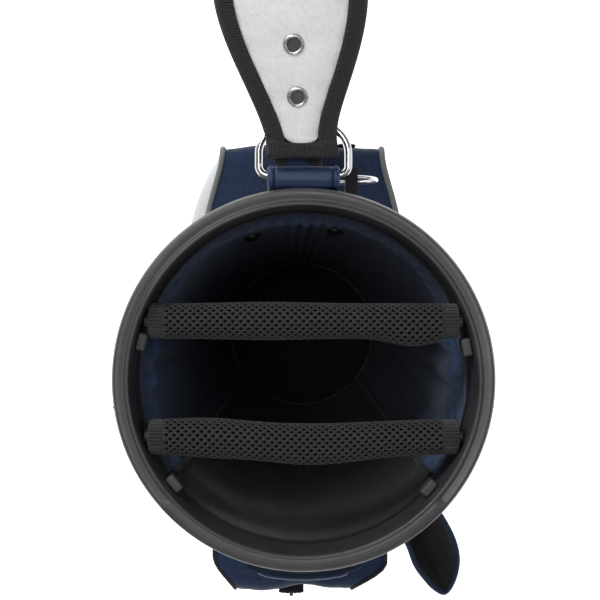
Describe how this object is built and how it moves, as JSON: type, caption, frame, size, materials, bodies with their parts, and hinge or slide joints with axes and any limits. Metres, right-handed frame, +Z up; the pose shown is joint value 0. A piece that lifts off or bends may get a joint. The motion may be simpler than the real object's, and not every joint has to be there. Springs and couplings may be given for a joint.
{
  "type": "golf stand bag",
  "caption": "Upright golf carry bag with a round padded-divider mouth ring, folding legs, a wide shoulder strap, zip pockets and an open umbrella sleeve.",
  "frame": {"origin": "on the floor, at the axis of the bag's tube", "axes": "+Z up the bag to its mouth, +Y towards the shoulder strap, +X to the right looking at the mouth with the strap side up"},
  "size_m": [0.2298, 0.5007, 0.9047],
  "materials": {
    "cuff_plastic": "satin",
    "lug_plastic": "matte",
    "bar_tube": "satin",
    "mesh": "matte",
    "webbing": "ribbed",
    "navy_fabric": "woven",
    "lining": "woven",
    "black_fabric": "woven",
    "fibreglass": "satin",
    "base_plastic": "satin",
    "foam": "matte",
    "rubber": "matte",
    "leather": "smooth",
    "white_fabric": "woven",
    "felt": "felted",
    "piping": "matte",
    "chrome": "polished",
    "steel": "brushed",
    "leg_tube": "anodised"
  },
  "bodies": {
    "bag": {"top_cuff": "cuff_plastic", "cuff_lugs": "lug_plastic", "divider_bars": "bar_tube", "divider_sleeves": "mesh", "divider_end_bands": "webbing", "shell": "navy_fabric", "liner": "lining", "liner_back_panel": "black_fabric", "stays": "fibreglass", "base_cup": "base_plastic", "base_pad": "foam", "base_tread": "rubber", "base_rivets": "steel", "tab_screws": "base_plastic", "upper_tab": "leather", "lower_tab": "leather", "towel_keeper": "webbing", "grab_handle": "webbing", "handle_grip": "foam", "front_pocket": "navy_fabric", "front_gussets": "white_fabric", "front_piping": "piping", "front_zip": "webbing", "rear_pocket": "navy_fabric", "rear_zip": "webbing", "umbrella_sleeve": "navy_fabric", "sleeve_rim": "navy_fabric", "leg_bracket_right": "base_plastic", "leg_bracket_left": "base_plastic", "bracket_screws": "steel", "leg_pins": "steel", "rod_guides": "base_plastic", "plate_pin": "steel"},
    "leg_right": {"leg_socket_right": "base_plastic", "leg_tube_right": "leg_tube", "leg_foot_right": "rubber"},
    "leg_left": {"leg_socket_left": "base_plastic", "leg_tube_left": "leg_tube", "leg_foot_left": "rubber"},
    "actuator": {"actuator_rods": "steel", "return_springs": "steel"},
    "base_plate": {"foot_plate": "base_plastic", "plate_tread": "rubber"},
    "strap": {"upper_ring": "chrome", "lower_ring": "chrome", "strap_shell": "navy_fabric", "strap_felt": "felt", "strap_binding": "webbing", "strap_eyelets": "chrome", "strap_loops": "webbing", "strap_buckle": "base_plastic"},
    "towel": {"towel_ring": "chrome"},
    "front_slider": {"front_zip_slider": "steel"},
    "front_pull": {"front_zip_pull": "steel"},
    "rear_slider": {"rear_zip_slider": "steel"},
    "rear_pull": {"rear_zip_pull": "steel"}
  },
  "joints": [
    {"name": "leg_right_swing", "type": "hinge", "parent": "bag", "child": "leg_right", "pos_m": [0.1048, -0.019, 0.8], "axis": [-0.866, -0.5, 0], "range_deg": [0, 28], "stiffness_Nm_per_rad": 0.4, "springref_deg": -114.59},
    {"name": "leg_left_swing", "type": "hinge", "parent": "bag", "child": "leg_left", "pos_m": [-0.1048, -0.019, 0.8], "axis": [-0.866, 0.5, 0], "range_deg": [0, 28]},
    {"name": "rod_slide", "type": "slide", "parent": "bag", "child": "actuator", "axis": [0, 0, 1], "range_m": [0, 0.0066], "deforming": ["return_springs"]},
    {"name": "base_plate_tilt", "type": "hinge", "parent": "bag", "child": "base_plate", "pos_m": [0, 0, 0.007], "axis": [-1, 0, 0], "range_deg": [0, 7.52]},
    {"name": "strap_swing", "type": "hinge", "parent": "bag", "child": "strap", "pos_m": [0, 0.113, 0.7], "axis": [0, 0, 1], "range_deg": [-15, 15], "stiffness_Nm_per_rad": 0.4, "deforming": ["upper_tab", "lower_tab"]},
    {"name": "towel_ring_swing", "type": "hinge", "parent": "bag", "child": "towel", "pos_m": [0.027, 0.113, 0.852], "axis": [1, 0, 0], "range_deg": [0, 90]},
    {"name": "front_zip_travel", "type": "slide", "parent": "bag", "child": "front_slider", "axis": [0, 0, 1], "range_m": [-0.27, 0]},
    {"name": "front_pull_flip", "type": "hinge", "parent": "front_slider", "child": "front_pull", "pos_m": [0.04, 0.188, 0.45], "axis": [1, 0, 0], "range_deg": [0, 150]},
    {"name": "rear_zip_travel", "type": "slide", "parent": "bag", "child": "rear_slider", "axis": [0, 0, 1], "range_m": [-0.165, 0]},
    {"name": "rear_pull_flip", "type": "hinge", "parent": "rear_slider", "child": "rear_pull", "pos_m": [-0.008, -0.16, 0.704], "axis": [-1, 0, 0], "range_deg": [0, 150]}
  ],
  "couplings": [
    {"joint": "leg_left_swing", "follows": "leg_right_swing", "ratio": 1},
    {"joint": "rod_slide", "follows": "leg_right_swing", "m_per_rad": 0.013505},
    {"joint": "base_plate_tilt", "follows": "leg_right_swing", "ratio": 0.26857}
  ]
}
